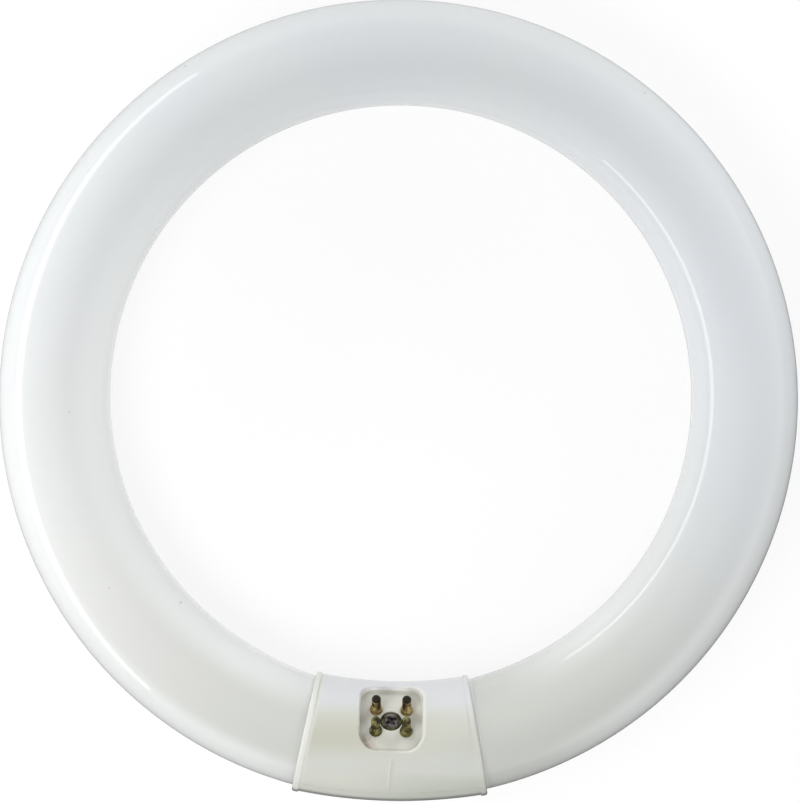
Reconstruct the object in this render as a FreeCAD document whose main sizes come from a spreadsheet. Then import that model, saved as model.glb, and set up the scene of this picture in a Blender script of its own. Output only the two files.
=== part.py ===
"""Circular fluorescent tube: a bent glass tube whose ends meet in a moulded cap with four contact pins.

The ring lies flat, with its axis along +Z and its centre at the origin. The cap is at -Y, and its pins lean
up and inward. All lengths are millimetres and all angles are degrees.
"""
import FreeCAD, Part
import math
import os
import Sketcher
from FreeCAD import Placement, Rotation, Vector

SIZES = [
    ("ring_diameter", 210.0, "outside of the glass ring"),
    ("tube_diameter", 28.6, "outside of the bent glass tube"),
    ("glass_end_radius", 6.0, "rounded shoulder of each closed glass end"),
    ("glass_end_clearance", 1.2, "from the recess's wall to the glass end, on the tube's centre line"),
    ("exhaust_tip_diameter", 4.6, "sealed exhaust stub in the middle of each glass end"),
    ("exhaust_tip_length", 3.6, "how far that stub stands out of the glass"),
    ("exhaust_tip_root", 1.0, "length of the stub that is melted into the glass end"),
    ("exhaust_tip_flat", 0.6, "flat left in the middle of that stub's rounded end"),
    ("cap_clearance", 0.5, "between the glass and the inside of the cap"),
    ("cap_wall", 0.9, "wall of both cap halves"),
    ("cap_bend", 1.33, "bend radius of the cap, as a share of the ring's: the cap is straighter"),
    ("cap_half_angle", 10.9, "from the cap's middle to each of its ends, about its own bend"),
    ("lip_width", 1.5, "raised lip round each end of the cap"),
    ("lip_height", 0.3, "how far the lip stands proud"),
    ("lip_rounding", 0.7, "rounded outer corner of each lip"),
    ("parting_gap", 0.1, "hairline between the two cap halves at their outer edge"),
    ("tongue_height", 1.0, "locating tongue of the back half, past the parting line"),
    ("tongue_clearance", 0.08, "between that tongue and its seat in the front half"),
    ("pin_tilt", 36.0, "lean of the pins from the ring's axis towards its centre"),
    ("recess_length", 16.3, "pin recess, along the tube"),
    ("recess_width", 17.9, "pin recess, across the tube"),
    ("recess_corner", 4.0, "corner radius of the recess"),
    ("recess_side_depth", 1.3, "depth of the recess at its two sides, where the cap's surface is lowest"),
    ("recess_rim_radius", 0.5, "rounded rim of the recess"),
    ("recess_foot_radius", 0.3, "rounded foot of the recess's walls"),
    ("recess_wall", 1.2, "walls and floor of the recess"),
    ("pin_pitch_along", 7.92, "between pin centres, along the tube"),
    ("pin_pitch_across", 6.35, "between pin centres, across the tube"),
    ("pin_diameter", 2.36, "shank of a contact pin"),
    ("pin_length", 6.6, "from the recess's floor to the tip of a pin"),
    ("pin_flange_diameter", 3.4, "flange that seats on the recess's floor"),
    ("pin_flange_thickness", 0.35, "thickness of that flange"),
    ("pin_root_diameter", 3.0, "foot of the cone between the flange and the shank"),
    ("pin_root_height", 0.6, "height of that cone"),
    ("pin_crimp_diameter", 2.0, "crimp groove under the tip of a pin"),
    ("pin_crimp_width", 0.7, "width of that groove"),
    ("pin_tip_height", 1.2, "from the crimp groove's middle to the tip"),
    ("pin_tip_radius", 0.6, "rounded tip of a pin"),
    ("pin_bore", 0.9, "bore of a pin, in which the lead wire lies"),
    ("pin_tip_solid", 1.0, "closed tip of a pin, above its bore"),
    ("pin_tail_diameter", 3.1, "riveted tail under the recess's floor"),
    ("pin_tail_height", 0.5, "height of that tail"),
    ("pin_clearance", 0.06, "between a pin and its hole, all round"),
    ("wire_diameter", 0.6, "bare lead wire"),
    ("wire_level", 4.0, "from the tube's centre line to the wire's run into the glass"),
    ("wire_bend_radius", 2.5, "bend of the wire between the glass and the pin"),
    ("screw_head_diameter", 5.4, "head of the clamp screw"),
    ("screw_head_height", 1.7, "height of that head"),
    ("screw_head_crown", 0.5, "rounded edge of that head"),
    ("screw_shank_diameter", 2.9, "plain shank of the screw in the front post"),
    ("screw_core_diameter", 2.4, "core of the threaded part in the back boss"),
    ("screw_grip", 9.0, "length of the threaded part in the back boss"),
    ("screw_lead_in", 0.5, "chamfer at the end of the threaded part"),
    ("shank_relief", 0.3, "from the end of the plain shank to the back boss"),
    ("drive_width", 0.85, "width of the cross recess's slots"),
    ("drive_length", 3.1, "length of the cross recess's slots"),
    ("drive_depth", 1.0, "depth of the cross recess"),
    ("drive_turn", 30.0, "turn of the cross recess about the screw"),
    ("counterbore_clearance", 0.2, "between the screw head and its counterbore, all round"),
    ("counterbore_depth", 1.5, "depth of that counterbore under the recess's floor"),
    ("screw_clearance", 0.15, "between the shank and the front post, all round"),
    ("thread_clearance", 0.05, "between the screw's core and its hole in the boss, all round"),
    ("post_diameter", 6.6, "front post and back boss round the screw"),
    ("post_meet", 2.0, "from the tube's centre line to where the post meets the boss"),
    ("boss_hole_spare", 1.0, "depth of the boss's hole past the end of the screw"),
]

RING_RADIUS = "((Sizes.ring_diameter - Sizes.tube_diameter) / 2)"
TUBE_RADIUS = "(Sizes.tube_diameter / 2)"
CAP_INNER = f"({TUBE_RADIUS} + Sizes.cap_clearance)"
CAP_OUTER = f"({CAP_INNER} + Sizes.cap_wall)"
LIP_OUTER = f"({CAP_OUTER} + Sizes.lip_height)"
CAP_BEND = f"({RING_RADIUS} * Sizes.cap_bend)"
CAP_END_X = f"({CAP_BEND} * sin(Sizes.cap_half_angle * 1 deg))"
# The cap's ends are centred on the glass, so its middle lies this far inward of the glass's centre line.
CAP_INSET = (f"({RING_RADIUS} - sqrt({RING_RADIUS}^2 - {CAP_END_X}^2)"
             f" - {CAP_BEND} + sqrt({CAP_BEND}^2 - {CAP_END_X}^2))")
LIP_ANGLE = f"(Sizes.lip_width / {CAP_BEND} * 180 / pi)"
PARTING_ANGLE = f"(Sizes.parting_gap / 2 / {CAP_OUTER} * 180 / pi)"
TONGUE_ANGLE = f"(Sizes.tongue_height / {CAP_OUTER} * 180 / pi)"
TONGUE_OUTER = f"({CAP_INNER} + Sizes.cap_wall / 2)"
TILT = "(Sizes.pin_tilt * 1 deg)"
SECTION_ACROSS = f"({CAP_INSET} * cos{TILT})"
SECTION_UP = f"({CAP_INSET} * sin{TILT})"
GLASS_END_ANGLE = (f"(asin((Sizes.recess_length / 2 + Sizes.recess_wall + Sizes.glass_end_clearance)"
                   f" / {RING_RADIUS}) / 1 deg)")
FLOOR = (f"({SECTION_UP} + sqrt({CAP_OUTER}^2 - (Sizes.recess_width / 2 + {SECTION_ACROSS})^2)"
         " - Sizes.recess_side_depth)")
FLOOR_UNDERSIDE = f"({FLOOR} - Sizes.recess_wall)"
HEAD_SEAT = f"({FLOOR} - Sizes.counterbore_depth)"

# Cuts run this far past the surface that they open, in mm and in degrees about the tube's centre line.
PAST = "2"
PAST_PARTING = "5"
CLEAR_OF_CAP = "12"

# Points and lengths that should agree are taken as equal within this many mm when edges are picked.
NEAR = 0.01

PIN_PLACES = [(-1, -1), (1, -1), (-1, 1), (1, 1)]

doc = FreeCAD.newDocument("CircularTube")
sheet = doc.addObject("Spreadsheet::Sheet", "Sizes")
for row, (alias, size, meaning) in enumerate(SIZES, start=1):
    sheet.set(f"A{row}", str(size))
    sheet.setAlias(f"A{row}", alias)
    sheet.set(f"B{row}", meaning)
doc.recompute()


def value(formula):
    """Return the number that a formula on the sheet gives, in mm or degrees."""
    result = sheet.evalExpression(formula)
    return float(getattr(result, "Value", result))


def new_body(name):
    """Start a sub-part. Its name is the name of its node."""
    body = doc.addObject("PartDesign::Body", name)
    body.Label = name
    return body


def place_in_cap(x="0", y="0", z="0", turn="0"):
    """Return the placement of a point in the cap's frame, turned about the pins' direction.

    That frame has its origin on the tube's centre line in the cap's middle, Z along the pins and X along
    the tube.
    """
    return (f"placement(vector({x}; -{RING_RADIUS} + ({y}) * cos{TILT} + ({z}) * sin{TILT};"
            f" ({z}) * cos{TILT} - ({y}) * sin{TILT});"
            f" rotation(vector(1; 0; 0); -Sizes.pin_tilt) * rotation(vector(0; 0; 1); {turn}))")


def new_sketch(body, name, plane, level="0"):
    """Start a sketch on one of the body's own origin planes, at a level above it."""
    sketch = body.newObject("Sketcher::SketchObject", name)
    support = next(item for item in body.Origin.OriginFeatures if item.Role == plane)
    sketch.AttachmentSupport = [(support, "")]
    sketch.MapMode = "FlatFace"
    sketch.setExpression("AttachmentOffset.Base.z", level)
    return sketch


def dimension(sketch, formula, kind, *place):
    """Add a dimension that follows a formula on the sheet."""
    amount = value(formula)
    if kind == "Angle":
        amount = math.radians(amount)
    index = sketch.addConstraint(Sketcher.Constraint(kind, *place, amount))
    sketch.setExpression(f"Constraints[{index}]", formula)


def fix_point(sketch, geometry, end, across, up):
    """Dimension one end of a line or a centre from the sketch's origin."""
    dimension(sketch, across, "DistanceX", -1, 1, geometry, end)
    dimension(sketch, up, "DistanceY", -1, 1, geometry, end)


def draw_circle(sketch, radius, across="0", up="0"):
    """Draw a circle with its centre dimensioned from the sketch's origin."""
    centre = Vector(value(across), value(up), 0)
    circle = sketch.addGeometry(Part.Circle(centre, Vector(0, 0, 1), value(radius)))
    fix_point(sketch, circle, 3, across, up)
    dimension(sketch, radius, "Radius", circle)


def draw_outline(sketch, corners):
    """Draw a closed outline of straight lines through corners given as pairs of formulas."""
    points = [Vector(value(across), value(up), 0) for across, up in corners]
    count = len(points)
    first = sketch.GeometryCount
    for index in range(count):
        sketch.addGeometry(Part.LineSegment(points[index], points[(index + 1) % count]))
    for index, (across, up) in enumerate(corners):
        line, line_before = first + index, first + (index - 1) % count
        sketch.addConstraint(Sketcher.Constraint("Coincident", line_before, 2, line, 1))
        fix_point(sketch, line, 1, across, up)


def draw_sector(sketch, inner, outer, start, end):
    """Draw the part of a ring between two radii and two angles, centred on the cap's centre line."""
    centre = Vector(value(SECTION_ACROSS), value(SECTION_UP), 0)
    angles = [math.radians(value(start)), math.radians(value(end))]
    arcs = []
    for radius in (inner, outer):
        circle = Part.Circle(centre, Vector(0, 0, 1), value(radius))
        arcs.append(sketch.addGeometry(Part.ArcOfCircle(circle, angles[0], angles[1])))
        dimension(sketch, radius, "Radius", arcs[-1])
    fix_point(sketch, arcs[0], 3, SECTION_ACROSS, SECTION_UP)
    sketch.addConstraint(Sketcher.Constraint("Coincident", arcs[0], 3, arcs[1], 3))
    for end_number, (turn, formula) in enumerate(zip(angles, (start, end)), start=1):
        direction = Vector(math.cos(turn), math.sin(turn), 0)
        line = sketch.addGeometry(Part.LineSegment(centre + direction * value(inner),
                                                   centre + direction * value(outer)))
        sketch.addConstraint(Sketcher.Constraint("Coincident", arcs[0], end_number, line, 1))
        sketch.addConstraint(Sketcher.Constraint("Coincident", arcs[1], end_number, line, 2))
        sketch.addConstraint(Sketcher.Constraint("PointOnObject", arcs[0], 3, line))
        dimension(sketch, formula, "Angle", line)


def draw_rounded_rectangle(sketch, length, width, corner):
    """Draw a rectangle with rounded corners, centred on the sketch's origin."""
    half_x, half_y, radius = value(length) / 2, value(width) / 2, value(corner)
    signs = [(1, 1), (-1, 1), (-1, -1), (1, -1)]
    arcs = []
    for index, (side_x, side_y) in enumerate(signs):
        centre = Vector(side_x * (half_x - radius), side_y * (half_y - radius), 0)
        start = math.radians(90 * index)
        circle = Part.Circle(centre, Vector(0, 0, 1), radius)
        arcs.append(sketch.addGeometry(Part.ArcOfCircle(circle, start, start + math.pi / 2)))
    for index in range(4):
        following = arcs[(index + 1) % 4]
        start_point = sketch.getPoint(arcs[index], 2)
        end_point = sketch.getPoint(following, 1)
        line = sketch.addGeometry(Part.LineSegment(start_point, end_point))
        sketch.addConstraint(Sketcher.Constraint("Tangent", arcs[index], 2, line, 1))
        sketch.addConstraint(Sketcher.Constraint("Tangent", line, 2, following, 1))
        sketch.addConstraint(Sketcher.Constraint("Horizontal" if index % 2 == 0 else "Vertical", line))
    for other in arcs[1:]:
        sketch.addConstraint(Sketcher.Constraint("Equal", arcs[0], other))
    dimension(sketch, corner, "Radius", arcs[0])
    fix_point(sketch, arcs[0], 3, f"({length}) / 2 - ({corner})", f"({width}) / 2 - ({corner})")
    fix_point(sketch, arcs[2], 3, f"({corner}) - ({length}) / 2", f"({corner}) - ({width}) / 2")


def draw_bend_axis(sketch):
    """Draw the axis of the cap's bend as a construction line in the cap's middle plane."""
    reach = f"({CAP_INSET} + {CAP_BEND})"
    foot = (f"{reach} * cos{TILT}", f"{reach} * sin{TILT}")
    top = (f"{foot[0]} - {RING_RADIUS} * sin{TILT}", f"{foot[1]} + {RING_RADIUS} * cos{TILT}")
    points = [Vector(value(across), value(up), 0) for across, up in (foot, top)]
    line = sketch.addGeometry(Part.LineSegment(*points), True)
    fix_point(sketch, line, 1, *foot)
    fix_point(sketch, line, 2, *top)


def sweep_cap_section(body, kind, name, inner, outer, start, end, half_angle):
    """Add or cut a sector carried round the cap's bend, evenly to both sides of its middle."""
    sketch = new_sketch(body, f"{name}_profile", "YZ_Plane")
    draw_sector(sketch, inner, outer, start, end)
    draw_bend_axis(sketch)
    sweep = body.newObject(kind, name)
    sweep.Profile = sketch
    sweep.ReferenceAxis = (sketch, ["Axis0"])
    sweep.Midplane = True
    sweep.setExpression("Angle", f"2 * ({half_angle})")
    return sweep


def revolve_profile(body, name, draw):
    """Add a round piece from a half profile that draw() puts on the XZ plane, turned about Z."""
    sketch = new_sketch(body, f"{name}_profile", "XZ_Plane")
    draw(sketch)
    axis = next(item for item in body.Origin.OriginFeatures if item.Role == "Z_Axis")
    turned = body.newObject("PartDesign::Revolution", name)
    turned.Profile = sketch
    turned.ReferenceAxis = (axis, [""])
    turned.Angle = 360
    return turned


def extrude(body, kind, name, sketch, length, towards_pins):
    """Add or cut a straight extrusion of a sketch. Towards the pins is up in the cap's frame."""
    feature = body.newObject(kind, name)
    feature.Profile = sketch
    feature.setExpression("Length", length)
    upward_by_default = kind == "PartDesign::Pad"
    feature.Reversed = towards_pins != upward_by_default
    return feature


def round_edges(body, name, base, chosen, radius):
    """Round the edges of a feature that chosen(edge) picks."""
    doc.recompute()
    names = [f"Edge{index}" for index, edge in enumerate(base.Shape.Edges, start=1) if chosen(edge)]
    fillet = body.newObject("PartDesign::Fillet", name)
    fillet.Base = (base, names)
    fillet.setExpression("Radius", radius)
    return fillet


def edge_points(edge, count=7):
    """Return points along an edge."""
    first, last = edge.ParameterRange
    return [edge.valueAt(first + (last - first) * index / (count - 1)) for index in range(count)]


def cap_distance(point):
    """Return how far a point in the cap's frame lies from the cap's curved centre line."""
    tilt = math.radians(value("Sizes.pin_tilt"))
    inward = point.y * math.cos(tilt) + point.z * math.sin(tilt)
    up = point.z * math.cos(tilt) - point.y * math.sin(tilt)
    bend = value(CAP_BEND)
    from_axis = math.hypot(point.x, bend + value(CAP_INSET) - inward)
    return math.hypot(from_axis - bend, up)


def round_lips(body, shell):
    """Round the outer corner of both end lips."""
    def is_lip_corner(edge):
        points = edge_points(edge)
        outermost = all(abs(cap_distance(point) - value(LIP_OUTER)) < NEAR for point in points)
        return outermost and points[0].x * points[-1].x > 0

    return round_edges(body, "lip_corners", shell, is_lip_corner, "Sizes.lip_rounding")


def make_glass_tube():
    """The sealed bulb: a tube bent round the ring, with rounded closed ends and their exhaust stubs."""
    body = new_body("glass_tube")
    sketch = new_sketch(body, "tube_section", "YZ_Plane")
    draw_circle(sketch, TUBE_RADIUS, across=RING_RADIUS)
    axis = next(item for item in body.Origin.OriginFeatures if item.Role == "Z_Axis")
    bend = body.newObject("PartDesign::Revolution", "bent_tube")
    bend.Profile = sketch
    bend.ReferenceAxis = (axis, [""])
    bend.Midplane = True
    bend.setExpression("Angle", f"360 - 2 * {GLASS_END_ANGLE}")
    end_x = value(RING_RADIUS) * math.sin(math.radians(value(GLASS_END_ANGLE)))

    def is_end_edge(edge):
        full_circle = abs(edge.Length - math.pi * value("Sizes.tube_diameter")) < NEAR
        return full_circle and all(abs(point.x) < 2 * end_x and point.y < 0 for point in edge_points(edge))

    round_edges(body, "end_shoulders", bend, is_end_edge, "Sizes.glass_end_radius")
    for side, name in ((-1, "left_exhaust_tip"), (1, "right_exhaust_tip")):
        angle = f"{GLASS_END_ANGLE} * 1 deg"
        root = "Sizes.exhaust_tip_root"
        tip = body.newObject("PartDesign::AdditiveCylinder", name)
        tip.setExpression("Radius", "Sizes.exhaust_tip_diameter / 2")
        tip.setExpression("Height", f"Sizes.exhaust_tip_length + {root}")
        tip.setExpression("Placement", (
            f"placement(vector({side} * ({RING_RADIUS} * sin({angle}) + {root} * cos({angle}));"
            f" -{RING_RADIUS} * cos({angle}) + {root} * sin({angle}); 0);"
            f" rotation(vector(0; 0; 1); {side} * {GLASS_END_ANGLE})"
            f" * rotation(vector(0; 1; 0); {-90 * side}))"))

        def is_tip_rim(edge):
            return (abs(edge.Length - math.pi * value("Sizes.exhaust_tip_diameter")) < NEAR
                    and all(0 < side * point.x < end_x - value("Sizes.exhaust_tip_length") / 2
                            for point in edge_points(edge)))

        round_edges(body, f"{name}_end", tip, is_tip_rim,
                    "(Sizes.exhaust_tip_diameter - Sizes.exhaust_tip_flat) / 2")
    return body


def cut_between_lips(body, start, end):
    """Cut all that stands proud of the cap's plain surface between its two end lips."""
    sweep_cap_section(body, "PartDesign::Groove", "between_lips", CAP_OUTER,
                      f"{CAP_OUTER} + {CLEAR_OF_CAP}", start, end, f"(Sizes.cap_half_angle - {LIP_ANGLE})")


def make_cap_front():
    """The front half: shell, recess with its walls and floor, pin holes, and the post round the screw."""
    body = new_body("cap_front")
    shell = sweep_cap_section(body, "PartDesign::Revolution", "shell", CAP_INNER, LIP_OUTER,
                              PARTING_ANGLE, f"180 - {PARTING_ANGLE}", "Sizes.cap_half_angle")
    round_lips(body, shell)

    well_outline = new_sketch(body, "well_outline", "XY_Plane", FLOOR_UNDERSIDE)
    draw_rounded_rectangle(well_outline, "Sizes.recess_length + 2 * Sizes.recess_wall",
                           "Sizes.recess_width + 2 * Sizes.recess_wall",
                           "Sizes.recess_corner + Sizes.recess_wall")
    extrude(body, "PartDesign::Pad", "well", well_outline, f"{LIP_OUTER} + {PAST} - {FLOOR_UNDERSIDE}", True)
    cut_between_lips(body, f"-{PAST_PARTING}", f"180 + {PAST_PARTING}")

    recess_outline = new_sketch(body, "recess_outline", "XY_Plane", FLOOR)
    draw_rounded_rectangle(recess_outline, "Sizes.recess_length", "Sizes.recess_width",
                           "Sizes.recess_corner")
    recess = extrude(body, "PartDesign::Pocket", "recess", recess_outline,
                     f"{LIP_OUTER} + 2 * {PAST} - {FLOOR}", True)

    def is_rim(edge):
        points = edge_points(edge)
        on_outside = all(abs(cap_distance(point) - value(CAP_OUTER)) < NEAR for point in points)
        beside_recess = all(abs(point.x) < value("Sizes.recess_length / 2") + NEAR
                            and abs(point.y) < value("Sizes.recess_width / 2") + NEAR for point in points)
        return on_outside and beside_recess

    def is_foot(edge):
        return all(abs(point.z - value(FLOOR)) < NEAR for point in edge_points(edge))

    foot = round_edges(body, "recess_foot", recess, is_foot, "Sizes.recess_foot_radius")
    round_edges(body, "recess_rim", foot, is_rim, "Sizes.recess_rim_radius")

    post_outline = new_sketch(body, "post_outline", "XY_Plane", "Sizes.post_meet")
    draw_circle(post_outline, "Sizes.post_diameter / 2")
    extrude(body, "PartDesign::Pad", "post", post_outline, f"{FLOOR_UNDERSIDE} - Sizes.post_meet", True)

    counterbore_outline = new_sketch(body, "counterbore_outline", "XY_Plane", HEAD_SEAT)
    draw_circle(counterbore_outline, "Sizes.screw_head_diameter / 2 + Sizes.counterbore_clearance")
    extrude(body, "PartDesign::Pocket", "counterbore", counterbore_outline,
            f"Sizes.counterbore_depth + {PAST}", True)
    shank_outline = new_sketch(body, "shank_outline", "XY_Plane", f"Sizes.post_meet - {PAST}")
    draw_circle(shank_outline, "Sizes.screw_shank_diameter / 2 + Sizes.screw_clearance")
    extrude(body, "PartDesign::Pocket", "shank_hole", shank_outline,
            f"{FLOOR} + 2 * {PAST} - Sizes.post_meet", True)

    pin_outline = new_sketch(body, "pin_outline", "XY_Plane", f"{FLOOR_UNDERSIDE} - {PAST}")
    for along, across in PIN_PLACES:
        draw_circle(pin_outline, "Sizes.pin_diameter / 2 + Sizes.pin_clearance",
                    f"{along} * Sizes.pin_pitch_along / 2", f"{across} * Sizes.pin_pitch_across / 2")
    extrude(body, "PartDesign::Pocket", "pin_holes", pin_outline, f"Sizes.recess_wall + 2 * {PAST}", True)

    seat = f"({TONGUE_ANGLE} + Sizes.tongue_clearance / {CAP_OUTER} * 180 / pi)"
    seats = (("inward_seat", f"-{PAST_PARTING}", seat),
             ("outward_seat", f"180 - {seat}", f"180 + {PAST_PARTING}"))
    for name, start, end in seats:
        sweep_cap_section(body, "PartDesign::Groove", name, f"{CAP_INNER} - {PAST}",
                          f"{TONGUE_OUTER} + Sizes.tongue_clearance", start, end,
                          f"(Sizes.cap_half_angle + {PAST_PARTING})")
    body.setExpression("Placement", place_in_cap())
    return body


def make_cap_back():
    """The back half: shell with locating tongues, and the boss that the screw bites into."""
    body = new_body("cap_back")
    shell = sweep_cap_section(body, "PartDesign::Revolution", "shell", CAP_INNER, LIP_OUTER,
                              f"{PARTING_ANGLE} - 180", f"-{PARTING_ANGLE}", "Sizes.cap_half_angle")
    round_lips(body, shell)

    boss_outline = new_sketch(body, "boss_outline", "XY_Plane", "Sizes.post_meet")
    draw_circle(boss_outline, "Sizes.post_diameter / 2")
    extrude(body, "PartDesign::Pad", "boss", boss_outline,
            f"Sizes.post_meet + {CAP_INNER} + Sizes.cap_wall / 2 - {SECTION_UP}", False)
    cut_between_lips(body, f"180 - {PAST_PARTING}", f"360 + {PAST_PARTING}")

    hole_outline = new_sketch(body, "hole_outline", "XY_Plane", "Sizes.post_meet")
    draw_circle(hole_outline, "Sizes.screw_core_diameter / 2 + Sizes.thread_clearance")
    extrude(body, "PartDesign::Pocket", "screw_hole", hole_outline,
            "Sizes.screw_grip + Sizes.boss_hole_spare", False)

    tongues = (("inward_tongue", f"-{PAST_PARTING}", TONGUE_ANGLE),
               ("outward_tongue", f"180 - {TONGUE_ANGLE}", f"180 + {PAST_PARTING}"))
    for name, start, end in tongues:
        sweep_cap_section(body, "PartDesign::Revolution", name, CAP_INNER, TONGUE_OUTER, start, end,
                          "Sizes.cap_half_angle")
    body.setExpression("Placement", place_in_cap())
    return body


def make_contact_pin(number, along, across):
    """A hollow brass pin: riveted tail, flange on the recess's floor, conical root, shank, crimp and tip."""
    body = new_body(f"contact_pin_{number}")
    shank = "Sizes.pin_diameter / 2"
    bore = "Sizes.pin_bore / 2"
    tail_end = "-(Sizes.recess_wall + Sizes.pin_tail_height)"
    crimp_middle = "(Sizes.pin_length - Sizes.pin_tip_height)"
    bore_end = "Sizes.pin_length - Sizes.pin_tip_solid"

    def draw(sketch):
        draw_outline(sketch, [
            (bore, tail_end),
            ("Sizes.pin_tail_diameter / 2", tail_end),
            ("Sizes.pin_tail_diameter / 2", "-Sizes.recess_wall"),
            (shank, "-Sizes.recess_wall"),
            (shank, "0"),
            ("Sizes.pin_flange_diameter / 2", "0"),
            ("Sizes.pin_flange_diameter / 2", "Sizes.pin_flange_thickness"),
            ("Sizes.pin_root_diameter / 2", "Sizes.pin_flange_thickness"),
            (shank, "Sizes.pin_flange_thickness + Sizes.pin_root_height"),
            (shank, f"{crimp_middle} - Sizes.pin_crimp_width / 2"),
            ("Sizes.pin_crimp_diameter / 2", crimp_middle),
            (shank, f"{crimp_middle} + Sizes.pin_crimp_width / 2"),
            (shank, "Sizes.pin_length"),
            ("0", "Sizes.pin_length"),
            ("0", bore_end),
            (bore, bore_end),
        ])

    turned = revolve_profile(body, "turned_pin", draw)

    def is_tip(edge):
        return all(abs(point.z - value("Sizes.pin_length")) < 0.001
                   and math.hypot(point.x, point.y) > value(shank) - 0.001 for point in edge_points(edge))

    round_edges(body, "rounded_tip", turned, is_tip, "Sizes.pin_tip_radius")
    body.setExpression("Placement", place_in_cap(f"{along} * Sizes.pin_pitch_along / 2",
                                                 f"{across} * Sizes.pin_pitch_across / 2", FLOOR))
    return body


def make_clamp_screw():
    """The screw in the middle of the pins: crowned head with a cross recess, plain shank, threaded core."""
    body = new_body("clamp_screw")
    shank_end = f"-({HEAD_SEAT} - Sizes.post_meet - Sizes.shank_relief)"
    point = f"-({HEAD_SEAT} - Sizes.post_meet + Sizes.screw_grip)"
    core = "Sizes.screw_core_diameter / 2"

    def draw(sketch):
        draw_outline(sketch, [
            ("0", point),
            (f"{core} - Sizes.screw_lead_in", point),
            (core, f"{point} + Sizes.screw_lead_in"),
            (core, shank_end),
            ("Sizes.screw_shank_diameter / 2", shank_end),
            ("Sizes.screw_shank_diameter / 2", "0"),
            ("Sizes.screw_head_diameter / 2", "0"),
            ("Sizes.screw_head_diameter / 2", "Sizes.screw_head_height"),
            ("0", "Sizes.screw_head_height"),
        ])

    turned = revolve_profile(body, "turned_screw", draw)

    def is_head_rim(edge):
        return all(abs(point.z - value("Sizes.screw_head_height")) < 0.001
                   and math.hypot(point.x, point.y) > value("Sizes.screw_head_diameter / 2") - 0.001
                   for point in edge_points(edge))

    round_edges(body, "head_crown", turned, is_head_rim, "Sizes.screw_head_crown")
    slots = (("slot_along", "Sizes.drive_length / 2", "Sizes.drive_width / 2"),
             ("slot_across", "Sizes.drive_width / 2", "Sizes.drive_length / 2"))
    for name, half_x, half_y in slots:
        outline = new_sketch(body, f"{name}_outline", "XY_Plane",
                             "Sizes.screw_head_height - Sizes.drive_depth")
        draw_outline(outline, [(half_x, half_y), (f"-{half_x}", half_y),
                               (f"-{half_x}", f"-{half_y}"), (half_x, f"-{half_y}")])
        extrude(body, "PartDesign::Pocket", name, outline, f"Sizes.drive_depth + {PAST}", True)
    body.setExpression("Placement", place_in_cap("0", "0", HEAD_SEAT, "Sizes.drive_turn"))
    return body


def make_lead_wire(number, along, across):
    """A bare wire that leaves a glass end squarely, bends once and runs up its pin's bore to the tip."""
    tilt = Rotation(Vector(1, 0, 0), -value("Sizes.pin_tilt"))
    cap_frame = Placement(Vector(0, -value(RING_RADIUS), 0), tilt)
    end_angle = math.radians(value(GLASS_END_ANGLE))
    out_of_cap = Vector(along * math.cos(end_angle), math.sin(end_angle), 0)
    towards_glass = cap_frame.Rotation.inverted().multVec(out_of_cap)
    ring_centre = cap_frame.inverse().multVec(Vector(0, 0, 0))

    x, y = along * value("Sizes.pin_pitch_along / 2"), across * value("Sizes.pin_pitch_across / 2")
    top = Vector(x, y, value(f"{FLOOR} + Sizes.pin_length - Sizes.pin_tip_solid"))
    corner = Vector(x, y, value("Sizes.wire_level"))
    glass = corner + towards_glass * (ring_centre - corner).dot(towards_glass)

    upward = (top - corner).normalize()
    half_turn = (math.pi - upward.getAngle(towards_glass)) / 2
    radius = value("Sizes.wire_bend_radius")
    cut_back = radius * math.tan(half_turn)
    arc_start, arc_end = corner + upward * cut_back, corner + towards_glass * cut_back
    to_centre = (upward + towards_glass).normalize()
    arc_middle = corner + to_centre * (radius / math.cos(half_turn) - radius)
    path = Part.Wire([Part.LineSegment(top, arc_start).toShape(),
                      Part.Arc(arc_start, arc_middle, arc_end).toShape(),
                      Part.LineSegment(arc_end, glass).toShape()])
    section = Part.Wire(Part.makeCircle(value("Sizes.wire_diameter / 2"), top, upward))
    wire = doc.addObject("Part::Feature", f"lead_wire_{number}")
    wire.Label = f"lead_wire_{number}"
    wire.Shape = path.makePipeShell([section], True, False)
    wire.Placement = cap_frame
    section_times_length = math.pi * value("Sizes.wire_diameter / 2") ** 2 * path.Length
    share = wire.Shape.Volume / section_times_length
    print(f"{wire.Label}: bend radius {radius:.2f}, {share:.4f} of section times length")
    return wire


def check_and_write(parts):
    """Stop if anything failed, then write each sub-part to its own file."""
    doc.recompute()
    failed = [item.Name for item in doc.Objects if "Invalid" in item.State or "Error" in item.State]
    for part in parts:
        shape = part.Shape
        if shape.isNull() or not shape.isValid() or len(shape.Solids) != 1:
            failed.append(part.Label)
    if failed:
        raise RuntimeError("failed: " + ", ".join(failed))
    os.makedirs("parts", exist_ok=True)
    for part in parts:
        part.Shape.exportStep(f"parts/{part.Label}.step")
        print(f"{part.Label}: {part.Shape.Volume:.1f} cubic mm")


sub_parts = [make_glass_tube(), make_cap_front(), make_cap_back(), make_clamp_screw()]
for number, (along, across) in enumerate(PIN_PLACES, start=1):
    sub_parts.append(make_contact_pin(number, along, across))
    sub_parts.append(make_lead_wire(number, along, across))
check_and_write(sub_parts)
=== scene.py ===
# %% [markdown]
# # A circular fluorescent tube
# The lamp is a bent glass tube, powdered white on the inside. Its two ends meet in a small moulded cap,
# and four brass contact pins stand in the cap's recess round one screw. The rigid pieces come ready-made
# from the frame, at their real size and in metres. This script gives them their looks: a truer skin for
# the glass, turned skins for the pins and the screw, a finish for every surface, and a soft studio.

# %% The frame and its box
import math

import bmesh
import bpy
import numpy as np
from mathutils import Matrix, Vector


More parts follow.
